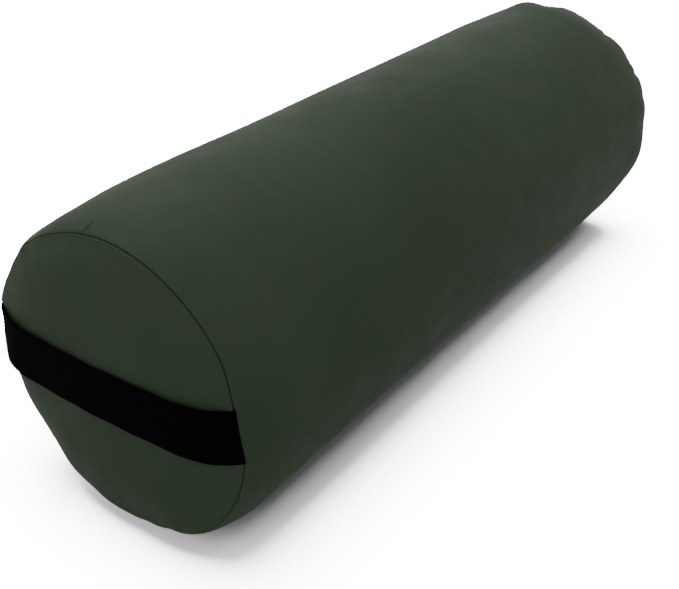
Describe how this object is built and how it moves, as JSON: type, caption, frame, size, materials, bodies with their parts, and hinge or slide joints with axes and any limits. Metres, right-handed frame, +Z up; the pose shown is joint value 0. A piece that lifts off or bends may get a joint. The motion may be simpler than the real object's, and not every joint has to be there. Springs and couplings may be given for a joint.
{
  "type": "bolster pillow",
  "caption": "Long round massage bolster pillow: smooth vinyl cover with crowned sewn ends, a flat webbing carry strap over an end, and a zip along the back.",
  "frame": {"origin": "centre of the flat strip on the underside that the bolster rests on", "axes": "+X along the bolster, away from the end with the carry strap; +Z up; the zip is on the +Y side"},
  "size_m": [0.6622, 0.2305, 0.2274],
  "materials": {
    "cover_vinyl": "matte olive grey upholstery vinyl with a very fine grain",
    "foam": "cut open-cell foam",
    "batting": "white polyester fibre",
    "webbing": "black woven nylon webbing",
    "zip_tape": "black woven polyester tape",
    "zip_nylon": "black nylon coil",
    "zip_metal": "black enamel on die-cast zinc",
    "thread": "bonded polyester thread in the cover's colour"
  },
  "bodies": {
    "pillow": {"foam_core": "foam", "batting_sleeve": "batting", "batting_pad_handle": "batting", "batting_pad_far": "batting", "side_panel": "cover_vinyl", "end_panel_handle": "cover_vinyl", "end_panel_far": "cover_vinyl", "end_seam_thread_handle": "thread", "end_seam_thread_far": "thread", "zip_tape_upper": "zip_tape", "zip_tape_lower": "zip_tape", "zip_coil_upper": "zip_nylon", "zip_coil_lower": "zip_nylon", "zip_top_stops": "zip_metal", "zip_bottom_stop": "zip_metal", "zip_topstitch_upper": "thread", "zip_topstitch_lower": "thread", "zip_end_tacks": "thread"},
    "strap": {"carry_strap": "webbing"},
    "slider": {"zip_slider": "zip_metal"},
    "pull_tab": {"zip_pull_tab": "zip_metal"}
  },
  "joints": [
    {"name": "zip_slide", "type": "slide", "parent": "pillow", "child": "slider", "axis": [1, 0, 0], "range_m": [0, 0.498], "deforming": ["zip_tape_upper", "zip_tape_lower", "zip_coil_upper", "zip_coil_lower"]},
    {"name": "pull_tab_flip", "type": "hinge", "parent": "slider", "child": "pull_tab", "pos_m": [-0.2485, 0.114, 0.13733], "axis": [0, -0.2079, 0.9781], "range_deg": [0, 178]},
    {"name": "strap_lift", "type": "slide", "parent": "pillow", "child": "strap", "axis": [-1, 0, 0], "range_m": [0, 0.015], "deforming": ["carry_strap"]}
  ]
}
